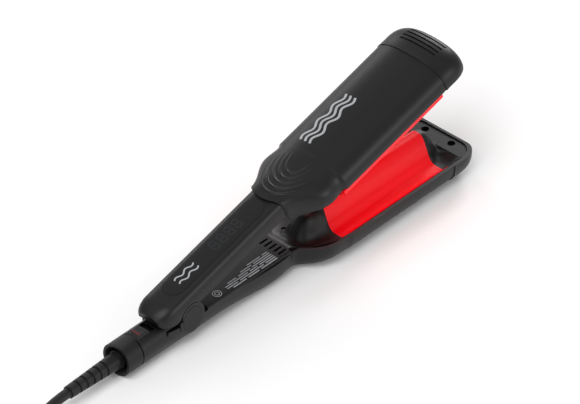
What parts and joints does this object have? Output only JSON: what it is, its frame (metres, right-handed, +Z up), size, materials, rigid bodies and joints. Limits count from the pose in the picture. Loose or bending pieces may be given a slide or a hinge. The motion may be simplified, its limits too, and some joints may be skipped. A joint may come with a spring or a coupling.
{
  "type": "hair crimper",
  "caption": "Two-arm deep-wave hair crimper with sprung hinge, red ceramic wave plates, display panel, slide switch and swivel cord",
  "frame": {"origin": "under the middle of the body without its cord, on the surface that it rests on", "axes": "+X from the tail to the tips along the body, +Z up from the resting surface, Y across the arms"},
  "size_m": [0.6166, 0.0652, 0.1047],
  "materials": {
    "soft_black_casing": "soft-touch moulded plastic, satin",
    "black_nylon": "moulded heat-resistant plastic, matt",
    "red_ceramic": "glossy red ceramic coating on aluminium",
    "heat_resin": "matt",
    "heater_ceramic": "fired ceramic",
    "aluminium": "bent sheet",
    "zinc_steel": "zinc plated",
    "wire_silicone": "silicone insulation",
    "cord_pvc": "matt cable sheath",
    "nickel_brass": "nickel plated",
    "switch_grey": "satin",
    "lens_gloss": "polished",
    "display_dark": "polished",
    "board_green": "solder mask"
  },
  "bodies": {
    "root": {"lower_housing": "soft_black_casing", "lower_inner_cover": "black_nylon", "lower_plate": "red_ceramic", "lower_front_block": "black_nylon", "lower_tip_cap": "soft_black_casing", "lower_plate_frame": "heat_resin", "lower_heater": "heater_ceramic", "lower_heater_clamp": "aluminium", "lower_thermal_fuse": "zinc_steel", "lower_wires": "wire_silicone", "front_screws": "zinc_steel", "rear_screw": "zinc_steel", "pivot_pin": "zinc_steel", "pivot_cap_near": "black_nylon", "pivot_cap_far": "black_nylon", "hinge_spring": "zinc_steel", "cord_collar": "black_nylon", "swivel_socket": "black_nylon", "switch_body": "black_nylon", "cord_lead": "cord_pvc", "cord_hank": "cord_pvc", "cord_end": "cord_pvc", "hank_tie": "cord_pvc", "plug_body": "cord_pvc", "plug_pins": "nickel_brass"},
    "upper_arm": {"upper_handle": "soft_black_casing", "upper_head_cover": "soft_black_casing", "upper_tip_cap": "soft_black_casing", "upper_inner_cover": "black_nylon", "upper_rim": "black_nylon", "upper_front_block": "black_nylon", "upper_plate": "red_ceramic", "upper_plate_frame": "heat_resin", "upper_heater": "heater_ceramic", "upper_sensor": "zinc_steel", "upper_wires": "wire_silicone", "upper_screws": "zinc_steel", "display_lens": "lens_gloss", "display_module": "display_dark", "control_board": "board_green"},
    "power_switch": {"switch_slider": "switch_grey"},
    "swivel": {"cord_swivel": "cord_pvc", "strain_relief": "cord_pvc"}
  },
  "joints": [
    {"name": "arm_hinge", "type": "hinge", "parent": "root", "child": "upper_arm", "pos_m": [-0.1, 0, 0.02], "axis": [0, 1, 0], "range_deg": [0, 15.4], "stiffness_Nm_per_rad": 2, "springref_deg": -20.05, "deforming": ["hinge_spring"]},
    {"name": "switch_slide", "type": "slide", "parent": "root", "child": "power_switch", "axis": [1, 0, 0], "range_m": [0, 0.004]},
    {"name": "cord_swivel_turn", "type": "hinge", "parent": "root", "child": "swivel", "pos_m": [-0.15, 0, 0.0115], "axis": [1, 0, 0], "continuous": true}
  ]
}
